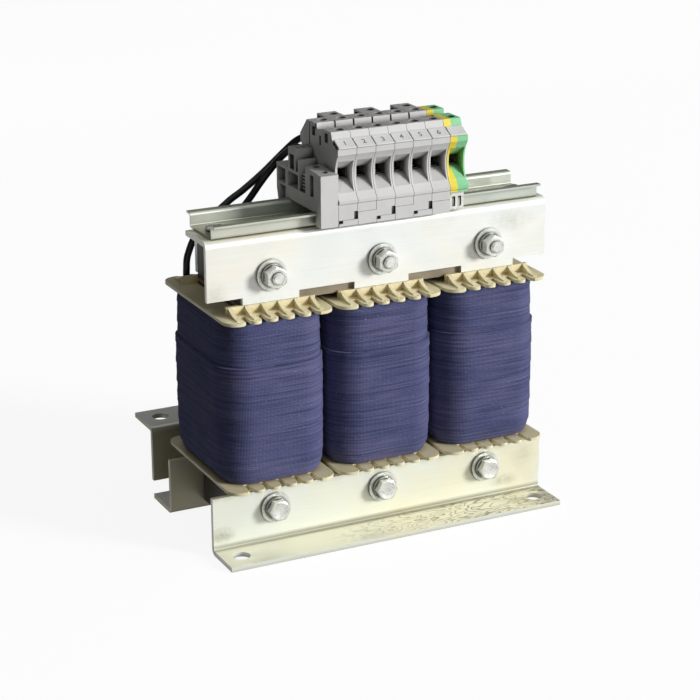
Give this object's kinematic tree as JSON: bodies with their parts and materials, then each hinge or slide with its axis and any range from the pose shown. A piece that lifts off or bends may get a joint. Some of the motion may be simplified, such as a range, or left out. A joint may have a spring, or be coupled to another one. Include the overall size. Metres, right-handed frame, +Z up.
{
  "type": "line reactor",
  "caption": "Three-phase line reactor: taped coils on a laminated core, clamped between zinc-plated angles, with screw terminals on a top-hat rail above.",
  "frame": {"origin": "middle of the four foot holes, on the floor plane", "axes": "+X to the right along the angles, +Y towards the rear, +Z up"},
  "size_m": [0.187, 0.1294, 0.2084],
  "materials": {
    "lamination": "lacquered sheet edges",
    "spacer_board": "matt",
    "bobbin_plastic": "matt",
    "copper": "enamelled wire",
    "navy_tape": "woven",
    "zinc_sheet": "zinc-plated",
    "zinc_fastener": "zinc-plated",
    "grey_plastic": "matt",
    "yellow_plastic": "matt",
    "green_plastic": "matt",
    "brass": "satin",
    "white_plastic": "matt",
    "black_insulation": "satin"
  },
  "bodies": {
    "root": {"core_e_stack": "lamination", "upper_yoke": "lamination", "gap_spacers": "spacer_board", "bobbin_left": "bobbin_plastic", "bobbin_center": "bobbin_plastic", "bobbin_right": "bobbin_plastic", "winding_left": "copper", "winding_center": "copper", "winding_right": "copper", "tape_left": "navy_tape", "tape_center": "navy_tape", "tape_right": "navy_tape", "front_foot": "zinc_sheet", "rear_foot": "zinc_sheet", "rear_bracket": "zinc_sheet", "upper_front_clamp": "zinc_sheet", "upper_rear_bar": "zinc_sheet", "upper_bolts": "zinc_fastener", "upper_nuts": "zinc_fastener", "upper_washers": "zinc_fastener", "lower_bolts": "zinc_fastener", "lower_nuts": "zinc_fastener", "lower_washers": "zinc_fastener", "spring_washers": "zinc_fastener", "spacer_sleeves": "zinc_fastener", "din_rail": "zinc_sheet", "rail_screws": "zinc_fastener", "end_clamp": "grey_plastic", "end_clamp_screw": "zinc_fastener", "terminal_1": "grey_plastic", "terminal_2": "grey_plastic", "terminal_3": "grey_plastic", "terminal_4": "grey_plastic", "terminal_5": "grey_plastic", "terminal_6": "grey_plastic", "earth_left_half": "yellow_plastic", "earth_right_half": "green_plastic", "earth_foot": "zinc_fastener", "current_bars": "brass", "clamp_cages": "zinc_fastener", "clamp_screws": "zinc_fastener", "marker_strip": "white_plastic", "lead_1": "black_insulation", "lead_2": "black_insulation", "lead_3": "black_insulation", "lead_4": "black_insulation", "lead_5": "black_insulation", "lead_6": "black_insulation"}
  },
  "joints": []
}
